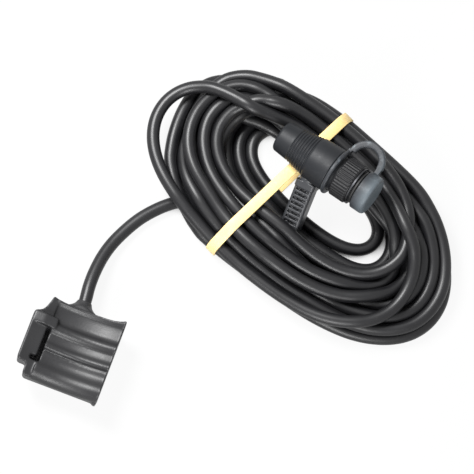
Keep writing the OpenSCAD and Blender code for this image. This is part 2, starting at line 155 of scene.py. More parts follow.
class Graph:
    """The node tree of one material, or of the world."""

    def __init__(self, name: str, world: bool = False) -> None:
        """Start an empty material or world.

        Args:
            name: its name.
            world: True for the world.
        """
        self.owner = (bpy.data.worlds if world else bpy.data.materials).new(name)
        self.output = "ShaderNodeOutputWorld" if world else "ShaderNodeOutputMaterial"
        self.owner.use_nodes = True
        self.tree = self.owner.node_tree
        self.tree.nodes.clear()

    def node(self, kind: str, values: dict[Any, Any], out: Any = 0, **settings: Any) -> Expr:
        """Add a node, set or link its inputs, and take one of its outputs.

        Args:
            kind: Blender's name for the node.
            values: inputs by name or number; an Expr is linked, anything else is set.
            out: the output's name or number.
            **settings: the node's own properties.

        Returns:
            The chosen output.
        """
        made = self.tree.nodes.new(kind)
        for key, value in settings.items():
            setattr(made, key, value)
        for key, value in values.items():
            if isinstance(value, Expr):
                self.tree.links.new(value.socket, made.inputs[key])
            else:
                made.inputs[key].default_value = value
        return Expr(self, made.outputs[out])

    def place(self, scale: Vec3 = (1.0, 1.0, 1.0), uv: bool = False) -> Expr:
        """Object coordinates in metres, or the piece's own UVs, stretched by scale.

        Args:
            scale: factor on each axis.
            uv: True for UVs.

        Returns:
            The coordinates.
        """
        raw = self.node("ShaderNodeTexCoord", {}, out="UV" if uv else "Object")
        return self.node("ShaderNodeMapping", {"Vector": raw, "Scale": scale})

    def noise(self, place: Expr, scale: float, detail: float = 3.0, rough: float = 0.5) -> Expr:
        """Fractal noise from 0 to 1.

        Args:
            place: coordinates.
            scale: features per unit of the coordinates.
            detail: octaves.
            rough: weight of the finer octaves.

        Returns:
            The noise's value.
        """
        return self.node("ShaderNodeTexNoise",
                         {"Vector": place, "Scale": scale, "Detail": detail, "Roughness": rough}, out="Fac")

    def cells(self, place: Expr, scale: float) -> Expr:
        """Distance pattern of Voronoi cells.

        Args:
            place: coordinates.
            scale: cells per unit of the coordinates.

        Returns:
            The distance to the nearest cell's middle.
        """
        return self.node("ShaderNodeTexVoronoi", {"Vector": place, "Scale": scale})

    def mix(self, share: Any, a: Any, b: Any) -> Expr:
        """Blend of two colours.

        Args:
            share: 0 for a, 1 for b.
            a: colour or expression.
            b: colour or expression.

        Returns:
            The blended colour.
        """
        full = [c if isinstance(c, Expr) else (*c, 1.0) for c in (a, b)]
        return self.node("ShaderNodeMix", {0: share, 6: full[0], 7: full[1]}, out=2, data_type="RGBA")

    def along(self, place: Expr, axis: Vec3) -> Expr:
        """Distance along an axis.

        Args:
            place: coordinates.
            axis: a direction of length 1.

        Returns:
            The scalar product of the two.
        """
        return self.node("ShaderNodeVectorMath", {0: place, 1: axis}, out="Value", operation="DOT_PRODUCT")

    def bump(self, height: Expr, depth: float, strength: float = 1.0, under: Expr | None = None) -> Expr:
        """Normal of a surface with this relief.

        Args:
            height: relief from 0 to 1.
            depth: how deep the relief is, in metres.
            strength: how much of it shows.
            under: a normal that the relief lies on.

        Returns:
            The normal.
        """
        values: dict[Any, Any] = {"Height": height, "Distance": depth, "Strength": strength}
        if under is not None:
            values["Normal"] = under
        return self.node("ShaderNodeBump", values, out="Normal")

    def close(self, surface: Expr) -> Any:
        """Make a shader the surface of the material or world.

        Args:
            surface: the shader.

        Returns:
            The material or world.
        """
        end = self.tree.nodes.new(self.output)
        self.tree.links.new(surface.socket, end.inputs["Surface"])
        return self.owner

    def seen(self) -> Expr:
        """Mark the rays that show the background: from the camera, off gloss, or through clear matter.

        Returns:
            1 on such a ray and 0 on the others.
        """
        camera, gloss, clear = (self.node("ShaderNodeLightPath", {}, out=kind)
                                for kind in ("Is Camera Ray", "Is Glossy Ray", "Is Transmission Ray"))
        return self.node("ShaderNodeMath", {0: camera + gloss, 1: clear}, operation="ADD", use_clamp=True)


# Finishes


@dataclass(frozen=True)
class Finish:
    """What every finish has.

    Attributes:
        name: the material's name.
        base: main colour, linear.
        tint: second colour, linear, such as that of mottling, marks, streaks or tarnish.
        rough: mean roughness.
    """

    name: str
    base: Colour
    tint: Colour
    rough: float

    def build(self) -> bpy.types.Material:
        """Make the material.

        Returns:
            The material.
        """
        g = Graph(self.name)
        return g.close(g.node("ShaderNodeBsdfPrincipled", self.surface(g)))

    def surface(self, g: Graph) -> dict[str, Any]:
        """Work out the surface.

        Args:
            g: the material's graph.

        Returns:
            Inputs of the Principled shader by name.
        """
        raise NotImplementedError


@dataclass(frozen=True)
class Moulded(Finish):
    """Moulded plastic or rubber: a spark-eroded grain, soft mottling and light rubbing.

    Attributes:
        grain: size of the grain in metres.
        depth: depth of the grain in metres.
        rub: how much the rubbed patches lighten it.
        streak: stretch of the rubbing on X, Y and Z.
        shine: strength of the reflection, 0.5 for an index of refraction of 1.5.
    """

    grain: float = 0.0006
    depth: float = 0.00006
    rub: float = 0.15
    streak: Vec3 = (1.0, 1.0, 1.0)
    shine: float = 0.3

    def surface(self, g: Graph) -> dict[str, Any]:
        """Grain and mottling over object coordinates, lighter where it is rubbed or dusty.

        Args:
            g: the material's graph.

        Returns:
            Inputs of the Principled shader by name.
        """
        place = g.place()
        broad = g.noise(place, 55.0, 4.0)
        grain = g.noise(place, 1.0 / self.grain, 2.0, 0.6)
        worn = g.noise(g.place(self.streak), 240.0, 5.0, 0.65).step(0.52, 0.74)
        dust = g.noise(place, 900.0, 1.0).step(0.71, 0.79)
        lift = tuple(min(1.0, c * 2.2 + 0.02) for c in self.base)
        colour = self.shade(g, place, g.mix(broad.step(0.3, 0.7), self.base, self.tint))
        colour = g.mix(worn * self.rub + dust * (0.5 * self.rub), colour, lift)
        rough = self.rough + 0.14 * (broad - 0.5) + 0.10 * (grain - 0.5) - 0.08 * worn
        flow = g.bump(broad, 0.0004, 0.35)
        return {"Base Color": colour, "Roughness": rough, "Specular IOR Level": self.shine,
                "Normal": g.bump(grain, self.depth, 0.8, flow)}

    def shade(self, g: Graph, place: Expr, colour: Expr) -> Expr:
        """Change the colour with the place; here it stays.

        Args:
            g: the material's graph.
            place: coordinates in metres.
            colour: the mottled colour.

        Returns:
            The colour to use.
        """
        return colour


@dataclass(frozen=True)
class Jacket(Finish):
    """Extruded cable jacket: faint die lines along it, handling marks round it and a little dust.

    Attributes:
        shine: strength of the reflection, 0.5 for an index of refraction of 1.5.
    """

    shine: float = 0.3

    def surface(self, g: Graph) -> dict[str, Any]:
        """Lines and marks over UVs that run along the cable in metres and once round it.

        Args:
            g: the material's graph.

        Returns:
            Inputs of the Principled shader by name.
        """
        lines = g.noise(g.place((6.0, 26.0, 1.0), uv=True), 1.0, 3.0, 0.6)
        marks = g.noise(g.place((55.0, 2.0, 1.0), uv=True), 1.0, 4.0, 0.6)
        place = g.place()
        grain = g.noise(place, 2600.0, 2.0)
        dust = g.noise(place, 1300.0, 1.0).step(0.70, 0.80)
        colour = g.mix(marks.step(0.35, 0.75), self.base, self.tint)
        colour = g.mix(dust * 0.12, colour, (0.16, 0.16, 0.16))
        rough = self.rough + 0.12 * (marks - 0.5) + 0.10 * (lines - 0.5)
        drawn = g.bump(lines, 0.00009, 0.6)
        return {"Base Color": colour, "Roughness": rough, "Specular IOR Level": self.shine,
                "Normal": g.bump(grain, 0.00003, 0.6, drawn)}


@dataclass(frozen=True)
class Latex(Finish):
    """Cut latex band: streaks along it, nicks across it and a chalky bloom.

    Attributes:
        bloom: colour of the bloom, linear.
    """

    bloom: Colour = (0.88, 0.76, 0.48)

    def surface(self, g: Graph) -> dict[str, Any]:
        """Streaks and nicks over UVs that run along the band in metres and once round its section.

        Args:
            g: the material's graph.

        Returns:
            Inputs of the Principled shader by name.
        """
        streak = g.noise(g.place((14.0, 9.0, 1.0), uv=True), 1.0, 4.0, 0.6)
        bloom = g.noise(g.place(), 420.0, 4.0, 0.6)
        nicks = g.noise(g.place((260.0, 5.0, 1.0), uv=True), 1.0, 2.0)
        colour = g.mix(streak.step(0.38, 0.8) * 0.5, self.base, self.tint)
        colour = g.mix(bloom.step(0.5, 0.8) * 0.25, colour, self.bloom)
        rough = self.rough + 0.2 * (bloom - 0.5)
        cross = g.bump(nicks, 0.0001, 0.5)
        return {"Base Color": colour, "Roughness": rough, "IOR": 1.5, "Subsurface Weight": 0.12,
                "Subsurface Radius": (0.002, 0.0012, 0.0006), "Normal": g.bump(streak, 0.00012, 0.5, cross)}


@dataclass(frozen=True)
class Granular(Finish):
    """Pressed or fired grains, such as cork or ceramic, with the second colour between them.

    Attributes:
        size: size of a grain in metres.
        depth: relief in metres.
    """

    size: float
    depth: float

    def surface(self, g: Graph) -> dict[str, Any]:
        """Cells and clouds over object coordinates.

        Args:
            g: the material's graph.

        Returns:
            Inputs of the Principled shader by name.
        """
        place = g.place()
        cells = g.cells(place, 1.0 / self.size)
        cloud = g.noise(place, 160.0, 4.0)
        colour = g.mix(cells.step(0.25, 0.9), self.base, self.tint)
        colour = g.mix(cloud.step(0.45, 0.8) * 0.4, colour, self.tint)
        return {"Base Color": colour, "Roughness": self.rough + 0.15 * (cloud - 0.5),
                "Normal": g.bump(1.0 - cells, self.depth, 0.7)}


@dataclass(frozen=True)
class Metal(Finish):
    """Turned or drawn metal with tool lines and a little tarnish."""

    def surface(self, g: Graph) -> dict[str, Any]:
        """Lines and clouds over object coordinates.

        Args:
            g: the material's graph.

        Returns:
            Inputs of the Principled shader by name.
        """
        lines = g.noise(g.place((1.0, 8.0, 1.0)), 900.0, 2.0)
        cloud = g.noise(g.place(), 300.0, 4.0)
        colour = g.mix(cloud.step(0.5, 0.85) * 0.6, self.base, self.tint)
        return {"Base Color": colour, "Metallic": 1.0, "Normal": g.bump(lines, 0.00002, 0.5),
                "Roughness": self.rough + 0.2 * (cloud - 0.5) + 0.1 * (lines - 0.5)}


# Geometry


def turn(axis: str, degrees: float) -> Array:
    """Rotation matrix about one axis.

    Args:
        axis: "x", "y" or "z".
        degrees: angle, right-handed.

    Returns:
        A 3 by 3 matrix.
    """
    c, s = math.cos(math.radians(degrees)), math.sin(math.radians(degrees))
    rows = {"x": [[1, 0, 0], [0, c, -s], [0, s, c]],
            "y": [[c, 0, s], [0, 1, 0], [-s, 0, c]],
            "z": [[c, -s, 0], [s, c, 0], [0, 0, 1]]}
    return np.array(rows[axis], float)


@dataclass(frozen=True)
class Place:
    """A frame of its own, in millimetres.

    Attributes:
        at: origin in the row frame.
        axes: rotation from the frame to the row frame.
    """

    at: Vec3
    axes: Array

    def out(self, points: Any) -> Array:
        """Points of this frame in the row frame.

        Args:
            points: rows of three numbers.

        Returns:
            The same points in the row frame.
        """
        return np.asarray(self.at) + np.asarray(points, float) @ self.axes.T

    def into(self, points: Array) -> Array:
        """Points of the row frame in this frame.

        Args:
            points: rows of three numbers.

        Returns:
            The same points in this frame.
        """
        return (points - np.asarray(self.at)) @ self.axes


COIL = Place((81.7, 109.0, 0.0), turn("z", -19.3))
BAND = Place(tuple(COIL.out([-15.0, 0.0, 0.0])), COIL.axes @ turn("z", -6))
PLUG = Place((91.3, 124.5, 34.4), turn("z", -16.3) @ turn("y", -9))
BOOT = Place(tuple(PLUG.out([-11.0, 0.0, 0.0])), PLUG.axes @ turn("x", -55) @ turn("y", -8))


@dataclass(frozen=True)
class PaintedShadeFade(Moulded):
    """A moulding whose colour changes along the X axis of a frame, from painted shade to its own colour.

    Attributes:
        dark: colour of the painted shade below the change, linear.
        frame: the frame.
        low: where the change starts, mm.
        high: where it ends, mm.
    """

    dark: Colour = (0.03, 0.03, 0.03)
    frame: Place | None = None
    low: float = 0.0
    high: float = 1.0

    def shade(self, g: Graph, place: Expr, colour: Expr) -> Expr:
        """Blend from the dark colour of the painted shade to the main one.

        Args:
            g: the material's graph.
            place: coordinates in metres.
            colour: the mottled colour.

        Returns:
            The blended colour.
        """
        axis = self.frame.axes[:, 0]
        start = float(axis @ np.asarray(self.frame.at))
        run = g.along(place, tuple(float(v) for v in axis))
        return g.mix(run.step((start + self.low) * MM, (start + self.high) * MM), self.dark, colour)


FINISHES: dict[Slot, Finish] = {
    Slot.HOUSING: Moulded("housing_satin", (0.010, 0.010, 0.011), (0.014, 0.014, 0.015), 0.46, rub=0.12, shine=0.40,
                          streak=(0.35, 1.6, 1.0)),
    Slot.WINDOW: Moulded("window_polyurethane", (0.020, 0.021, 0.023), (0.026, 0.027, 0.030), 0.30, depth=0.00003),
    Slot.CERAMIC: Granular("fired_ceramic", (0.62, 0.55, 0.42), (0.50, 0.42, 0.31), 0.55, 0.0009, 0.00004),
    Slot.CORK: Granular("pressed_cork", (0.38, 0.22, 0.10), (0.17, 0.09, 0.04), 0.85, 0.0016, 0.00025),
    Slot.RESIN: Moulded("potting_resin", (0.055, 0.042, 0.028), (0.080, 0.060, 0.038), 0.22, depth=0.00002, rub=0.05),
    Slot.WIRE: Moulded("wire_insulation", (0.42, 0.11, 0.03), (0.50, 0.15, 0.05), 0.38, grain=0.0003),
    Slot.BRASS: Metal("turned_brass", (0.78, 0.55, 0.22), (0.42, 0.26, 0.10), 0.28),
    Slot.JACKET: Jacket("cable_jacket", (0.006, 0.006, 0.007), (0.010, 0.010, 0.011), 0.40, 0.37),
    Slot.BAND: Latex("latex_band", (0.82, 0.62, 0.28), (0.68, 0.46, 0.16), 0.52),
    Slot.PLUG: Moulded("plug_black", (0.009, 0.010, 0.012), (0.012, 0.013, 0.015), 0.50, grain=0.0005, shine=0.22),
    Slot.CARRIER: Moulded("contact_carrier", (0.045, 0.046, 0.050), (0.055, 0.056, 0.060), 0.40, depth=0.00003),
    Slot.SEAL: Moulded("seal_rubber", (0.015, 0.015, 0.015), (0.022, 0.022, 0.022), 0.55, grain=0.0004),
    Slot.RING: Moulded("ring_black", (0.006, 0.006, 0.007), (0.009, 0.009, 0.010), 0.46, grain=0.0005, shine=0.25),
    Slot.CLIP: Metal("blued_steel", (0.055, 0.056, 0.060), (0.035, 0.032, 0.030), 0.42),
    Slot.BOOT: Moulded("boot_rubber", (0.020, 0.021, 0.024), (0.028, 0.029, 0.032), 0.40, grain=0.0005, rub=0.3,
                       shine=0.4),
    # The dust cap's skirt gets painted shade: dark below 15 mm along the plug's axis, fading into the cap's blue-grey
    # by 24 mm.
    Slot.CAP: PaintedShadeFade("cap_rubber", (0.118, 0.142, 0.158), (0.100, 0.120, 0.136), 0.50, grain=0.0005, rub=0.2,
                    dark=(0.022, 0.024, 0.028), frame=PLUG, low=15.0, high=24.0),
}


@cache
def paint(slot: Slot) -> bpy.types.Material:
    """Give the material of a slot, which is made once.

    Args:
        slot: the record's slot.

    Returns:
        The material.
    """
    return FINISHES[slot].build()


def lengths(run: Array) -> Array:
    """Distance along a run of points, from 0 at its first.

    Args:
        run: rows of three numbers.

    Returns:
        One distance for each point.
    """
    return np.concatenate([[0.0], np.cumsum(np.linalg.norm(np.diff(run, axis=0), axis=1))])


def even(run: Array, step: float) -> Array:
    """The same run with points at an even distance, straight between the given ones.

    Args:
        run: rows of three numbers.
        step: distance wanted.

    Returns:
        The new points.
    """
    far = lengths(run)
    at = np.linspace(0.0, far[-1], max(2, int(round(far[-1] / step))) + 1)
    return np.stack([np.interp(at, far, run[:, k]) for k in range(3)], axis=1)


def smooth_run(points: Any, count: int) -> Array:
    """Catmull-Rom curve through points, each span a cubic of its four nearest points.

    Args:
        points: rows of three numbers.
        count: how many points to give.

    Returns:
        The points of the curve.
    """
    y = np.asarray(points, float)
    t = np.linspace(0.0, len(y) - 1.0, count)
    i = np.clip(t.astype(int), 0, len(y) - 2)
    f = (t - i)[:, None]
    a, b, c, d = (y[np.clip(i + k, 0, len(y) - 1)] for k in (-1, 0, 1, 2))
    return b + 0.5 * f * (c - a + f * (2 * a - 5 * b + 4 * c - d + f * (3 * (b - c) + d - a)))


def add_mesh(name: str, grid: Array, uv: Array, slot: Slot, loop: bool = False) -> bpy.types.Object:
    """Piece made of a grid of points whose columns close round, with flat ends unless its rows close too.

    Args:
        name: the piece's name.
        grid: rows by columns by three, in metres.
        uv: rows by columns plus one by two.
        slot: the record's slot.
        loop: True where the last row joins the first.

    Returns:
        The new object.
    """
    rows, cols = grid.shape[:2]
    r = np.arange(rows if loop else rows - 1)[:, None]
    c = np.arange(cols)[None, :]
    n, d = (r + 1) % rows, (c + 1) % cols
    quads = np.stack(np.broadcast_arrays(r * cols + c, r * cols + d, n * cols + d, n * cols + c), axis=-1)
    faces = quads.reshape(-1, 4).tolist()
    sides = len(faces)
    if not loop:
        faces += [np.arange(cols)[::-1].tolist(), (np.arange(cols) + (rows - 1) * cols).tolist()]
    mesh = bpy.data.meshes.new(name)
    mesh.from_pydata(grid.reshape(-1, 3).tolist(), [], faces)
    if loop:
        uv = np.concatenate([uv, uv[:1] + [[[float(uv[-1, 0, 0] + uv[1, 0, 0] - uv[0, 0, 0]), 0.0]]]])
    wide = cols + 1
    corner = np.stack(np.broadcast_arrays(r * wide + c, r * wide + c + 1, (r + 1) * wide + c + 1, (r + 1) * wide + c),
                      axis=-1).ravel()
    flat = np.zeros((len(mesh.loops), 2))
    flat[:len(corner)] = uv.reshape(-1, 2)[corner]
    layer = mesh.uv_layers.new(name="UVMap")
    layer.data.foreach_set("uv", flat.ravel())
    mesh.polygons.foreach_set("use_smooth", np.arange(len(mesh.polygons)) < sides)
    mesh.update()
    mesh.materials.append(paint(slot))
    piece = bpy.data.objects.new(name, mesh)
    bpy.context.scene.collection.objects.link(piece)
    log.info("%s: %d faces", name, len(faces))
    return piece


def wrap_uv(far: Array, cols: int) -> Array:
    """UVs of a grid: u is the distance along it and v goes once round.

    Args:
        far: distance of each row, m.
        cols: columns of the grid.

    Returns:
        Rows by columns plus one by two.
    """
    u = np.broadcast_to(far[:, None], (len(far), cols + 1))
    v = np.broadcast_to(np.linspace(0, 1, cols + 1), u.shape)
    return np.stack([u, v], axis=-1)


def sweep(run: Array, section: Array, up: Array, loop: bool = False) -> Array:
    """Grid of a section carried along a run: each point plus side times the section's x and up times its y.

    Args:
        run: rows of three numbers.
        section: rows of two numbers.
        up: one direction for the whole run, or one for each point.
        loop: True where the run closes.

    Returns:
        Points by section points by three.
    """
    if loop:
        ahead = np.roll(run, -1, axis=0) - np.roll(run, 1, axis=0)
    else:
        ahead = np.gradient(run, axis=0)
    ahead /= np.linalg.norm(ahead, axis=1, keepdims=True)
    side = np.cross(ahead, up)
    side /= np.linalg.norm(side, axis=1, keepdims=True)
    over = np.cross(side, ahead)
    return run[:, None] + section[None, :, :1] * side[:, None] + section[None, :, 1:] * over[:, None]


# Pieces


@dataclass(frozen=True)
class Bar:
    """A round bar that soft pieces keep clear of.

    Attributes:
        frame: the frame that it lies in.
        axis: number of the frame's axis that it lies along.
        ends: where it starts and ends on that axis, mm.
        radius: its radius, mm.
    """

    frame: Place
    axis: int
    ends: tuple[float, float]
    radius: float

    def clear(self, x: Array, free: Any, gap: float) -> None:
        """Move points out of the bar.

        Args:
            x: points in the row frame, changed in place, mm.
            free: how much each point may move, 0 to 1.
            gap: distance to keep from the bar, mm.
        """
        ends = np.zeros((2, 3))
        ends[:, self.axis] = self.ends
        a, b = self.frame.out(ends)
        bar = b - a
        foot = a + np.clip((x - a) @ bar / (bar @ bar), 0, 1)[:, None] * bar
        v = x - foot
        d = np.linalg.norm(v, axis=1)
        x += (free * np.maximum(self.radius + gap - d, 0) / np.maximum(d, 1e-6))[:, None] * v


@dataclass(frozen=True)
class Hump:
    """A rise of the turns where they pass over something: the height times a bell of the distance.

    Attributes:
        p: place along the coil, mm.
        q: place across it, mm.
        spread: square of the distance at which the bell is down to 1 / e, square mm.
        height: of its top, mm.
    """

    p: float
    q: float
    spread: float
    height: float

    def rise(self, p: Array, q: Array) -> Array:
        """Rise at places in the coil's frame.

        Args:
            p: places along the coil, mm.
            q: places across it, mm.

        Returns:
            One height for each place.
        """
        return self.height * np.exp(-((p - self.p) ** 2 + (q - self.q) ** 2) / self.spread)


@dataclass(frozen=True)
class Settling:
    """How the wound cable comes to rest.

    Attributes:
        rounds: how many rounds.
        late: share of the rounds after which pull and stiffness ease.
        sink: how far a point sinks in a round, mm.
        home: share of the way back to its wound place in a round, early and late.
        stiff: spacings in points, with the share of the fourth difference that is taken out early and late.
        search: rounds between two searches for near points.
        margin: how much over a diameter near points are apart, mm.
        skip: points along the cable that are no neighbours to touch.
        passes: how often near points are parted in a round.
        press: share of an overlap that is taken out in a pass.
        bottom: height under which a point is in the lowest layer, mm.
        lead: points among which the lead ends.
        start: points that come free gradually after the lead.
        end: points that are held more and more before the boot.
        held: points held in the boot.
        tail: points that may sink into the lowest layer.
    """

    rounds: int = 420
    late: float = 0.55
    sink: float = 0.02
    home: tuple[float, float] = (0.05, 0.02)
    stiff: tuple[tuple[int, float, float], ...] = ((1, 0.06, 0.06), (2, 0.05, 0.05), (4, 0.012, 0.006))
    search: int = 3
    margin: float = 1.6
    skip: int = 6
    passes: int = 8
    press: float = 1.2
    bottom: float = 5.5
    lead: int = 60
    start: int = 8
    end: int = 10
    held: int = 16
    tail: int = 30


FLOOR, SECOND, THIRD, FOURTH = 3.25, 8.8, 14.4, 19.9
UP = np.array([0.0, 0.0, 1.0])
PLUG_BAR = Bar(PLUG, 0, (-26.0, 12.0), 11.6)
GRIP_BAR = Bar(PLUG, 0, (-34.0, -2.0), 9.8)
BOOT_BAR = Bar(BOOT, 2, (-12.0, -32.0), 5.0)


@dataclass
class Cable:
    """The cable: out of the head, round the coil and into the plug's boot.

    A turn of the coil is four quarter ovals between the near side, the lower end, the stacked side and the upper end.

    Attributes:
        diameter: over the jacket, mm.
        lead: route from the flare to the coil, as in the CAD model, mm.
        turns: for each turn the near side's lane and height, the lower end's lane, height and centre,
            the stacked side's lane and height, and the upper end's lane, height and centre, in the coil's frame, mm.
        bow: exponent of the ovals, 1 for ellipses and less for fuller corners; the second is for the near lower
            corner, and the third for the near upper corner of the inner turns.
        inner: an inner turn's upper end is nearer than this, mm, and it comes before this quarter turn.
        slim: from this half width down turns get round ends, and fully so when slimmer by the second value, mm.
        slim_bow: exponents of round ends: along the coil, times half width by half length, and across it.
        span: quarter turns by which the coil starts early and ends early.
        fine: points in a turn.
        join: points of the coil that the lead stands in for.
        over_lead: rise of the turns over the lead.
        lead_turn: quarter turn after which turns pass over the lead.
        over_tail: rise of the upper turns over the tail.
        tail_height: height above which turns pass over the tail, mm.
        bore: heights in the boot's frame where the tail turns upright, enters and ends, mm.
        pull: how straight the tail's bend leaves the coil and enters the boot, as a share of its reach.
        lift: rise of the cable over the band under the coil, mm.
        reach: how far from the band's middle that rise goes, mm.
        gap: distance from the floor, mm.
        step: distance between the points that settle, mm.
        how: how they settle.
        sides: points round the tube.
        run: the settled points, mm.
        path: middle line of the tube, m.
        piece: the tube.
    """

    diameter: float = 6.4
    lead: tuple[Vec3, ...] = (
        (-1, 14.45, 11), (-1, 17.95, 11), (-1, 23.95, 11), (-1.8, 31, 10.6), (-2, 39, 9), (-1.1, 49, 6.6),
        (1.2, 58.2, 4.8), (5.2, 67.5, 3.8), (9.7, 75.3, 3.5), (15.3, 82.2, 3.4), (20.9, 87.5, 3.4),
        (26.7, 91.4, 3.4), (33.5, 94.4, 3.4))
    turns: tuple[tuple[float, ...], ...] = (
        (-22.2, FLOOR, 66.5, FLOOR, 0.5, 44.5, FLOOR, -56.0, FLOOR, 15),
        (-15.8, FLOOR, 59.5, FLOOR, 3.5, 38.1, FLOOR, -49.5, FLOOR, 15),
        (-9.4, FLOOR, 52.0, FLOOR, 7, 31.7, FLOOR, -43.0, FLOOR, 14),
        (-3.2, FLOOR, 42.0, FLOOR, 10.5, 24.6, FLOOR, -68.0, 10.5, -1),
        (-28.6, FLOOR, 75.2, FLOOR, -1, 27.5, SECOND, -77.0, FLOOR, 9),
        (-35.0, FLOOR, 81.0, FLOOR, -3, 34.9, SECOND, -73.8, SECOND, 10),
        (-40.8, FLOOR, 86.5, FLOOR, -5, 41.3, SECOND, -67.4, SECOND, 10),
        (-35.4, SECOND, 83.6, SECOND, -4, 44.5, THIRD, -61.0, SECOND, 10),
        (-29.6, SECOND, 77.6, SECOND, -2, 38.1, THIRD, -54.6, SECOND, 10),
        (-23.2, SECOND, 72.0, SECOND, -1, 31.7, THIRD, -70.6, THIRD, 10),
        (-32.8, THIRD, 65.6, SECOND, 0, 25.3, THIRD, -64.2, THIRD, 10),
        (-26.4, THIRD, 59.2, SECOND, 2, 27.5, FOURTH, -85.5, 15.5, -5),
        (-42.0, 9.8, 69.0, THIRD + 1, -13, 34.0, FOURTH, -57.8, THIRD, 10),
        (-18.0, THIRD, 54.0, THIRD, 6, 41.3, FOURTH, -71.0, 10.0, 10),
        (-34.0, SECOND, 54.0, THIRD, 6, 41.3, FOURTH, -71.0, 10.0, 10))
    bow: Vec3 = (0.84, 0.96, 1.1)
    inner: tuple[float, float] = (69.0, 16.0)
    slim: tuple[float, float] = (30.0, 14.0)
    slim_bow: tuple[float, float] = (0.6, 0.75)
    span: tuple[float, float] = (0.15, 0.28)
    fine: int = 90
    join: int = 6
    over_lead: Hump = Hump(-48.0, -36.0, 200.0, 6.2)
    lead_turn: float = 0.8
    over_tail: Hump = Hump(2.0, -27.0, 338.0, 5.0)
    tail_height: float = 7.0
    bore: Vec3 = (-38.0, -35.0, -10.0)
    pull: float = 0.5
    lift: float = 1.05
    reach: float = 6.5
    gap: float = 0.02
    step: float = 4.0
    how: Settling = Settling()
    sides: int = 16
    run: Array = field(default_factory=lambda: np.zeros((0, 3)))
    path: Array = field(default_factory=lambda: np.zeros((0, 3)))
    piece: bpy.types.Object | None = None

    def coil(self) -> Array:
        """Turns before they settle.

        At the turning angle the point is (P cos, centre + Q sin), with cos and sin raised to an exponent, where P is
        the lane at the nearer end and Q the half width at the nearer side. The exponents are the bow, and in slim
        turns go towards those of round ends. The height eases from station to station.

        Returns:
            Points in the row frame, mm.
        """
        rows = np.array(self.turns, float)
        n = len(rows)
        t = np.linspace(-self.span[0], 4 * (n - 1) - self.span[1], self.fine * n)
        near, low, far, high = (rows[np.clip(np.floor((t + k) / 4).astype(int), 0, n - 1)] for k in (2, 1, 0, -1))
        c, s = np.cos(np.radians(270 + 90 * t)), np.sin(np.radians(270 + 90 * t))
        mid = np.where(c > 0, low[:, 4], high[:, 9])
        half = np.where(c > 0, low[:, 2], -high[:, 7])
        wide = np.where(s > 0, far[:, 5] - mid, mid - near[:, 0])
        slim = np.clip((self.slim[0] - wide) / self.slim[1], 0, 1)
        bow = np.where((c > 0) & (s < 0), self.bow[1], self.bow[0])
        bow = np.where((s < 0) & (c < 0) & (half < self.inner[0]) & (t < self.inner[1]), self.bow[2], bow)
        p = half * np.sign(c) * np.abs(c) ** (bow + slim * (self.slim_bow[0] * wide / half - bow))
        q = mid + wide * np.sign(s) * np.abs(s) ** (bow + slim * (self.slim_bow[1] - bow))
        heights = rows[:, [1, 3, 6, 8]].ravel()
        i = np.floor(t).astype(int)
        ease = (t - i) ** 2 * (3 - 2 * (t - i))
        a, b = (heights[np.clip(i + k, 0, len(heights) - 1)] for k in (0, 1))
        z = a + (b - a) * ease
        z = z + np.where(t > self.lead_turn, self.over_lead.rise(p, q), 0.0)
        z = z + np.where(z > self.tail_height, self.over_tail.rise(p, q), 0.0)
        return COIL.out(np.column_stack([p, q, z]))

    def route(self) -> Array:
        """The whole cable before it settles: lead, coil, a bend up to the boot, and the boot's bore.

        Returns:
            Points at an even distance in the row frame, mm.
        """
        lead = smooth_run(self.lead, 70)
        coil = self.coil()[self.join:]
        low, mouth, top = BOOT.out([[0, 0, z] for z in self.bore])
        out = coil[-1] - coil[-2]
        out /= np.linalg.norm(out)
        rise = (mouth - low) / np.linalg.norm(mouth - low)
        gap = np.linalg.norm(low - coil[-1])
        u = np.linspace(0, 1, 30)[1:, None]
        bend = ((1 - u) ** 3 * coil[-1] + 3 * u * (1 - u) ** 2 * (coil[-1] + out * gap * self.pull)
                + 3 * u * u * (1 - u) * (low - rise * gap * self.pull) + u ** 3 * low)
        bore = np.vstack([low + (mouth - low) * np.linspace(0, 1, 4)[1:, None],
                          mouth + (top - mouth) * np.linspace(0, 1, 12)[1:, None]])
        return even(np.vstack([lead, coil, bend, bore]), self.step)

    def floor(self, x: Array) -> Array:
        """Least height of the cable's middle: its radius, and the band's thickness more where the band runs under it.

        Args:
            x: points in the row frame, mm.

        Returns:
            One height for each point.
        """
        return self.diameter / 2 + self.gap + self.lift * np.exp(-(BAND.into(x)[:, 0] / self.reach) ** 4)

    def touch(self, x: Array, free: Array, buried: Array, pairs: tuple[Array, Array]) -> None:
        """Move points of different turns apart until they are a diameter from each other.

        Args:
            x: points, changed in place.
            free: how much each point may move, 0 to 1.
            buried: True for the tail's points, which may sink into the lowest layer out of sight.
            pairs: numbers of the points that are near each other.
        """
        i, j = pairs
        v = x[i] - x[j]
        d = np.sqrt((v * v).sum(axis=1)) + 1e-9
        bottom = x[:, 2] < self.how.bottom
        sunk = (buried[i] & bottom[j]) | (buried[j] & bottom[i])
        on = (d < self.diameter) & ~sunk & (free[i] + free[j] > 0)
        i, j, v, d = i[on], j[on], v[on], d[on]
        share = (free[i] / (free[i] + free[j]))[:, None]
        push = v / d[:, None] * (self.diameter - d)[:, None]
        total, count = np.zeros_like(x), np.zeros(len(x))
        np.add.at(total, i, push * share)
        np.add.at(total, j, push * (share - 1))
        np.add.at(count, i, 1)
        np.add.at(count, j, 1)
        x += self.how.press * total / np.maximum(count, 1)[:, None]
        x[:, 2] = np.where(free > 0, np.maximum(x[:, 2], self.floor(x)), x[:, 2])

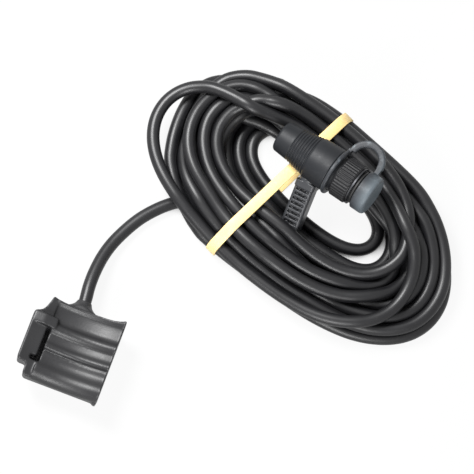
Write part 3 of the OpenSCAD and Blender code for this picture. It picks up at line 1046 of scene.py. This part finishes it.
    def settle(self) -> None:
        """Let the turns settle on each other.

        Each round pulls a point towards its place in the wound coil, takes out sharp bends (a fraction of the
        fourth difference along the cable at three spacings), and parts turns that run through each other.
        """
        how = self.how
        x = self.route()
        n = len(x)
        home = x.copy()
        first = int(np.argmin(np.linalg.norm(x[:how.lead] - np.array(self.lead[-2]), axis=1)))
        last = n - how.held
        free = np.zeros(n)
        free[first:last] = 1
        free[first:first + how.start] = np.linspace(0, 1, how.start)
        free[last - how.end:last] = np.linspace(1, 0, how.end)
        buried = np.arange(n) > n - how.tail
        pairs = (np.zeros(0, int), np.zeros(0, int))
        for k in range(how.rounds):
            late = int(k > how.late * how.rounds)
            x[:, 2] -= free * how.sink
            x += free[:, None] * how.home[late] * (home - x)
            for m, *gains in how.stiff:
                bend = np.zeros_like(x)
                bend[2 * m:-2 * m] = (x[:-4 * m] - 4 * x[m:-3 * m] + 6 * x[2 * m:-2 * m]
                                      - 4 * x[3 * m:-m] + x[4 * m:])
                x -= free[:, None] * gains[late] * bend
            if k % how.search == 0:
                sq = (x * x).sum(axis=1)
                apart = sq[:, None] + sq[None] - 2 * x @ x.T
                pairs = np.nonzero(np.triu(apart < (self.diameter + how.margin) ** 2, how.skip))
            for _ in range(how.passes):
                self.touch(x, free, buried, pairs)
            PLUG_BAR.clear(x, free, self.diameter / 2)
            BOOT_BAR.clear(x, free, self.diameter / 2)
        self.run = x
        log.info("cable settled: %d points, %.0f mm", n, lengths(x)[-1])

    def build(self) -> bpy.types.Object:
        """Tube along the settled route: a circle carried along it, u in metres along and v once round.

        Returns:
            The cable.
        """
        self.settle()
        path = smooth_run(self.run, 2 * len(self.run) - 1)
        angle = np.linspace(0, 2 * np.pi, self.sides, endpoint=False)
        circle = np.stack([np.cos(angle), np.sin(angle)], axis=1) * self.diameter / 2
        grid = sweep(path, circle, UP)
        piece = add_mesh("cable", grid * MM, wrap_uv(lengths(path) * MM, self.sides), Slot.JACKET)
        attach(piece, Body.MAIN.value)
        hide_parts("cable_lead", "cable_coil", "cable_tail")
        self.path = path * MM
        self.piece = piece
        return piece

    def declare(self, carried: Sequence[bpy.types.Object]) -> None:
        """Take the pieces on the cable; nothing is done with them.

        Args:
            carried: the pieces on the cable; not used.
        """


@dataclass
class RubberBand:
    """Flat latex band that holds the coil.

    Attributes:
        width: of the band, mm.
        thick: of the band, mm.
        edge: radius of its edges, mm.
        gap: distance from the strands, mm.
        plug_gap: distance from the plug, mm.
        floor_gap: distance from the floor, mm.
        under: how far from the band's middle strands carry it, mm.
        sides: least and greatest place of those strands across the coil, mm.
        rounds: rounds in which it finds its way under the plug.
        slack: rounds between two smoothings.
        step: distance between its sections, mm.
    """

    width: float = 5.6
    thick: float = 1.0
    edge: float = 0.25
    gap: float = 0.05
    plug_gap: float = 0.1
    floor_gap: float = 0.02
    under: float = 3.4
    sides: tuple[float, float] = (-60.0, 70.0)
    rounds: int = 60
    slack: int = 6
    step: float = 1.0

    def loop(self, cable: Cable) -> Array:
        """Middle line of the band: for each direction round the coil, the outermost strand plus its radius that way.

        Args:
            cable: the settled cable.

        Returns:
            Points of the closed line in the row frame, mm.
        """
        near = BAND.into(smooth_run(cable.run, 4 * len(cable.run)))
        held = (np.abs(near[:, 0]) < self.under) & (near[:, 1] > self.sides[0]) & (near[:, 1] < self.sides[1])
        near = near[held][:, 1:]
        angle = np.radians(np.arange(360))
        way = np.stack([np.cos(angle), np.sin(angle)], axis=1)
        hull = near[np.argmax(way @ near.T, axis=1)] + way * (cable.diameter / 2 + self.thick / 2 + self.gap)
        run = BAND.out(np.column_stack([np.zeros(len(hull)), hull]))
        run = even(np.vstack([run, run[:1]]), self.step)[:-1]
        for k in range(self.rounds):
            if k % self.slack == 0:
                run = 0.5 * run + 0.25 * (np.roll(run, 1, axis=0) + np.roll(run, -1, axis=0))
            GRIP_BAR.clear(run, 1.0, self.thick / 2 + self.plug_gap)
            run[:, 2] = np.maximum(run[:, 2], self.thick / 2 + self.floor_gap)
        return run

    def build(self, cable: Cable) -> bpy.types.Object:
        """Rounded strip carried round the loop, u in metres along and v once round its section.

        Args:
            cable: the settled cable.

        Returns:
            The band.
        """
        run = self.loop(cable)
        angle = np.radians(np.arange(0, 360, 90)[:, None] + np.array([0, 45, 90]))
        half = np.array([self.width, self.thick]) / 2 - self.edge
        middle = np.array([[1, 1], [-1, 1], [-1, -1], [1, -1]]) * half
        section = (middle[:, None] + self.edge * np.stack([np.cos(angle), np.sin(angle)], axis=-1)).reshape(-1, 2)
        ahead = np.roll(run, -1, axis=0) - np.roll(run, 1, axis=0)
        grid = sweep(run, section, np.cross(BAND.axes[:, 0], ahead), loop=True)
        piece = add_mesh("band", grid * MM, wrap_uv(lengths(run) * MM, len(section)), Slot.BAND, loop=True)
        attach(piece, Body.MAIN.value)
        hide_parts("rubber_band")
        return piece


@dataclass
class PlugBody:
    """The plug's moulded body: a closed end, a grooved grip that widens to the front, a smooth front and a core.

    Attributes:
        end: place of the closed end along the plug, mm.
        end_radius: radius there, mm.
        grip_radius: radius at the middle of the grip, mm.
        taper: growth of the grip's radius for each mm towards the front.
        grip_front: place where the grooves end, mm.
        grip_length: length of the grooved part, mm.
        grooves: how many grooves.
        groove_depth: how deep they are, mm.
        radius: radius of the front, mm.
        rim: edge of the closed end, as steps from its place and radius, mm.
        core: places and radii from the front's edge along the core and back through the bore, mm.
        axis: radius at the axis, where the end closes, mm.
        step: distance between the points of the outline, mm.
        columns: points round the axis.
    """

    end: float = -33.0
    end_radius: float = 8.1
    grip_radius: float = 9.8
    taper: float = 0.18
    grip_front: float = -13.0
    grip_length: float = 11.4
    grooves: int = 8
    groove_depth: float = 0.6
    radius: float = 11.6
    rim: tuple[tuple[float, float], ...] = ((0.0, -1.2), (0.4, -0.5), (1.2, 0.0))
    core: tuple[tuple[float, float], ...] = (
        (-1.4, 11.6), (-1.0, 11.2), (-1.0, 9.5), (1.2, 9.5), (1.2, 9.0), (12.2, 9.0), (12.2, 8.3), (13.0, 8.3),
        (13.0, 9.0), (13.4, 9.0), (13.4, 7.6), (-6.0, 7.6), (-6.0, 5.0), (-18.0, 5.0), (-18.0, 0.05))
    axis: float = 0.05
    step: float = 0.17
    columns: int = 96

    def grip(self, t: Array) -> Array:
        """Radius of the grip: the tapering cone less the grooves, each a raised cosine to the power of 1.5.

        Args:
            t: places along the plug, mm.

        Returns:
            One radius for each place.
        """
        cone = self.grip_radius + self.taper * (t - self.grip_front + self.grip_length / 2)
        phase = np.clip((self.grip_front - t) / self.grip_length, 0, 1) * self.grooves
        dip = (0.5 - 0.5 * np.cos(2 * np.pi * phase)) ** 1.5
        return cone - self.groove_depth * dip

    def outline(self) -> Array:
        """Places and radii of the whole outline, with edges eased by a short running mean.

        Returns:
            Rows of two numbers, mm.
        """
        back = self.grip_front - self.grip_length
        t = np.linspace(back, self.grip_front, 200)
        grip = np.column_stack([t, self.grip(t)])
        rim = np.array(self.rim) + (self.end, self.end_radius)
        rear = [(self.end, self.axis), *rim, (back - 0.8, grip[0, 1] - 0.1)]
        front = [(self.grip_front + 0.6, grip[-1, 1] + 0.2), (self.grip_front + 5.6, self.radius - 0.2)]
        run = np.vstack([rear, grip, front, self.core])
        run = even(np.column_stack([run, np.zeros(len(run))]), self.step)[:, :2]
        eased = run.copy()
        eased[1:-1] = (run[:-2] + run[1:-1] + run[2:]) / 3
        return eased

    def build(self) -> bpy.types.Object:
        """Turn the outline about the plug's axis: t along it, r cos and r sin across it.

        Returns:
            The body.
        """
        line = self.outline()
        angle = np.linspace(0, 2 * np.pi, self.columns, endpoint=False)
        t = np.broadcast_to(line[:, :1], (len(line), self.columns))
        grid = np.stack([t, line[:, 1:] * np.cos(angle), line[:, 1:] * np.sin(angle)], axis=-1)
        uv = wrap_uv(lengths(line) * MM, self.columns)
        piece = add_mesh("plug_body", PLUG.out(grid) * MM, uv, Slot.PLUG)
        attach(piece, Body.MAIN.value)
        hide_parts("plug_shell")
        return piece


@dataclass
class Moulding:
    """A CAD node's shape with the soft edges that a moulding has.

    Attributes:
        node: the CAD node.
        slot: the record's slot.
        body: the body that it rides on.
        voxel: size of the cells that the shape is rebuilt from, mm.
        ease: rounds of smoothing.
    """

    node: str
    slot: Slot
    body: Body = Body.MAIN
    voxel: float = 0.4
    ease: int = 4

    def build(self) -> bpy.types.Object:
        """Rebuild the shape from small cells, then ease each point towards its neighbours' mean.

        Returns:
            The piece.
        """
        source = frame["nodes"][self.node]
        piece = bpy.data.objects.new(self.node + "_moulding", source.data.copy())
        bpy.context.scene.collection.objects.link(piece)
        weld = piece.modifiers.new("weld", "WELD")
        weld.merge_threshold = 1e-6
        cells = piece.modifiers.new("cells", "REMESH")
        cells.mode = "VOXEL"
        cells.voxel_size = self.voxel * MM
        cells.use_smooth_shade = True
        ease = piece.modifiers.new("ease", "SMOOTH")
        ease.factor = 0.5
        ease.iterations = self.ease
        done = bpy.data.meshes.new_from_object(piece.evaluated_get(bpy.context.evaluated_depsgraph_get()))
        piece.modifiers.clear()
        piece.data = done
        done.materials.clear()
        done.materials.append(paint(self.slot))
        done.polygons.foreach_set("use_smooth", np.ones(len(done.polygons), bool))
        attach(piece, self.body.value)
        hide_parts(self.node)
        log.info("%s: %d faces", piece.name, len(done.polygons))
        return piece


@dataclass
class Kept:
    """A CAD node that stays as it is and gets a finish.

    Attributes:
        node: the CAD node.
        slot: the record's slot.
    """

    node: str
    slot: Slot

    def build(self) -> bpy.types.Object:
        """Put the finish on the node's material slots.

        Returns:
            The node's object.
        """
        piece = frame["nodes"][self.node]
        for place in piece.material_slots:
            place.material = paint(self.slot)
        log.info("%s: finish %s", self.node, self.slot.value)
        return piece


# Stage


@dataclass
class Stage:
    """Floor, light and camera.

    Attributes:
        target: what the camera looks at, mm.
        azimuth: degrees round from looking along +Y.
        elevation: degrees above the floor.
        roll: degrees that the camera is turned about its own axis.
        lens: focal length, mm.
        sensor: width of the sensor, mm.
        across: width of the view at the target, mm.
        room: strength of the room's even light.
        paper: least and greatest grey of the floor.
        glow: how far the floor is plain white to the camera.
        narrow: width of gaps that get painted shade on the floor, m.
        shut: share of open sky at which the floor is fully in painted shade, and at which it is light.
        aim: what the lamps face, m.
        lamps: name, place, side in metres and watts of each lamp.
    """

    target: Vec3 = (57.66, 84.58, 0.0)
    azimuth: float = -3.0
    elevation: float = 76.0
    roll: float = 23.7
    lens: float = 260.0
    sensor: float = 36.0
    across: float = 236.0
    room: float = 0.08
    paper: tuple[float, float] = (0.54, 0.56)
    glow: float = 0.92
    narrow: float = 0.014
    shut: tuple[float, float] = (0.08, 0.42)
    aim: Vec3 = (0.06, 0.08, 0.0)
    lamps: tuple[tuple[str, Vec3, float, float], ...] = (
        ("key", (-0.36, 0.24, 0.66), 0.28, 13.0), ("fill", (0.12, -0.62, 0.42), 0.30, 6.5))

    def camera(self) -> None:
        """Make the camera."""
        a, e = math.radians(self.azimuth), math.radians(self.elevation)
        back = Vector((math.sin(a) * math.cos(e), -math.cos(a) * math.cos(e), math.sin(e)))
        data = bpy.data.cameras.new("camera")
        data.lens = self.lens
        data.sensor_width = self.sensor
        eye = bpy.data.objects.new("camera", data)
        eye.location = Vector(self.target) * MM + back * (self.across * MM * self.lens / self.sensor)
        level = back.to_track_quat("Z", "Y")
        eye.rotation_euler = (level @ Quaternion((0.0, 0.0, 1.0), math.radians(self.roll))).to_euler()
        bpy.context.scene.collection.objects.link(eye)
        bpy.context.scene.camera = eye

    def lamp(self, name: str, at: Vec3, size: float, power: float) -> None:
        """Make a square soft box that faces the object.

        Args:
            name: its name.
            at: where it stands, m.
            size: its side, m.
            power: watts.
        """
        data = bpy.data.lights.new(name, "AREA")
        data.shape = "SQUARE"
        data.size = size
        data.energy = power
        lamp = bpy.data.objects.new(name, data)
        lamp.location = at
        lamp.rotation_euler = (Vector(at) - Vector(self.aim)).to_track_quat("Z", "Y").to_euler()
        bpy.context.scene.collection.objects.link(lamp)

    def floor(self) -> None:
        """Make the pale floor, white to the camera apart from a faint shadow and the painted shade of the narrow gaps
        of the coil.
        """
        g = Graph("floor_white")
        cloud = g.noise(g.place(), 6.0, 2.0)
        dull, pale = ((grey, grey, grey) for grey in self.paper)
        paper = g.node("ShaderNodeBsdfDiffuse", {"Color": g.mix(cloud, dull, pale)})
        glow = g.node("ShaderNodeEmission", {"Color": (1.0, 1.0, 1.0, 1.0), "Strength": 1.0})
        # Ambient occlusion cuts the floor's white glow where it is closed in: painted shade in the narrow gaps of the
        # coil.
        sky = g.node("ShaderNodeAmbientOcclusion", {"Distance": self.narrow}, out="AO").step(*self.shut)
        both = g.node("ShaderNodeMixShader", {0: g.seen() * sky * self.glow, 1: paper, 2: glow})
        mesh = bpy.data.meshes.new("floor")
        mesh.from_pydata([(-3, -3, 0), (3, -3, 0), (3, 3, 0), (-3, 3, 0)], [], [(0, 1, 2, 3)])
        mesh.materials.append(g.close(both))
        floor = bpy.data.objects.new("floor", mesh)
        bpy.context.scene.collection.objects.link(floor)

    def sky(self) -> None:
        """Make the even light of the room, white to the camera."""
        g = Graph("room", world=True)
        level = self.room + (1.0 - self.room) * g.seen()
        bpy.context.scene.world = g.close(g.node("ShaderNodeBackground",
                                                 {"Color": (1.0, 1.0, 1.0, 1.0), "Strength": level}))

    def build(self) -> None:
        """Make the whole stage."""
        self.floor()
        self.sky()
        for lamp in self.lamps:
            self.lamp(*lamp)
        bpy.context.scene.view_settings.view_transform = "Standard"


@dataclass
class Transducer:
    """The whole object.

    Attributes:
        cable: the cable.
        band: the rubber band.
        plug: the plug's body.
        mouldings: CAD shapes that get soft edges.
        kept: CAD nodes that stay as they are.
    """

    cable: Cable = field(default_factory=Cable)
    band: RubberBand = field(default_factory=RubberBand)
    plug: PlugBody = field(default_factory=PlugBody)
    mouldings: tuple[Moulding, ...] = (
        Moulding("housing", Slot.HOUSING, voxel=0.38, ease=30),
        Moulding("cable_boot", Slot.BOOT, voxel=0.26, ease=3),
        Moulding("dust_cap", Slot.CAP, voxel=0.30, ease=4),
        Moulding("coupling_ring", Slot.RING, Body.RING, voxel=0.20, ease=2))
    kept: tuple[Kept, ...] = (
        Kept("acoustic_window", Slot.WINDOW), Kept("piezo_disc", Slot.CERAMIC), Kept("isolation_sleeve", Slot.CORK),
        Kept("backing_pad", Slot.CORK), Kept("potting_fill", Slot.RESIN), Kept("signal_wires", Slot.WIRE),
        Kept("crimp_ring", Slot.BRASS), Kept("contact_carrier", Slot.CARRIER), Kept("contact_pins", Slot.BRASS),
        Kept("plug_wires", Slot.WIRE), Kept("seal_ring", Slot.SEAL), Kept("retaining_clip", Slot.CLIP))

    def build(self) -> None:
        self.cable.build()
        band = self.band.build(self.cable)
        plug = self.plug.build()
        made = {m.node: m.build() for m in self.mouldings}
        kept = {k.node: k.build() for k in self.kept}
        ends = [plug, *(made[n] for n in ("cable_boot", "dust_cap", "coupling_ring"))]
        ends += [kept[n] for n in ("contact_carrier", "contact_pins", "plug_wires", "seal_ring", "retaining_clip")]
        self.cable.declare([band, *ends])


def main() -> None:
    """Make the stage and the object."""
    stage = Stage()
    stage.camera()
    stage.build()
    Transducer().build()


if __name__ == "__main__":
    main()
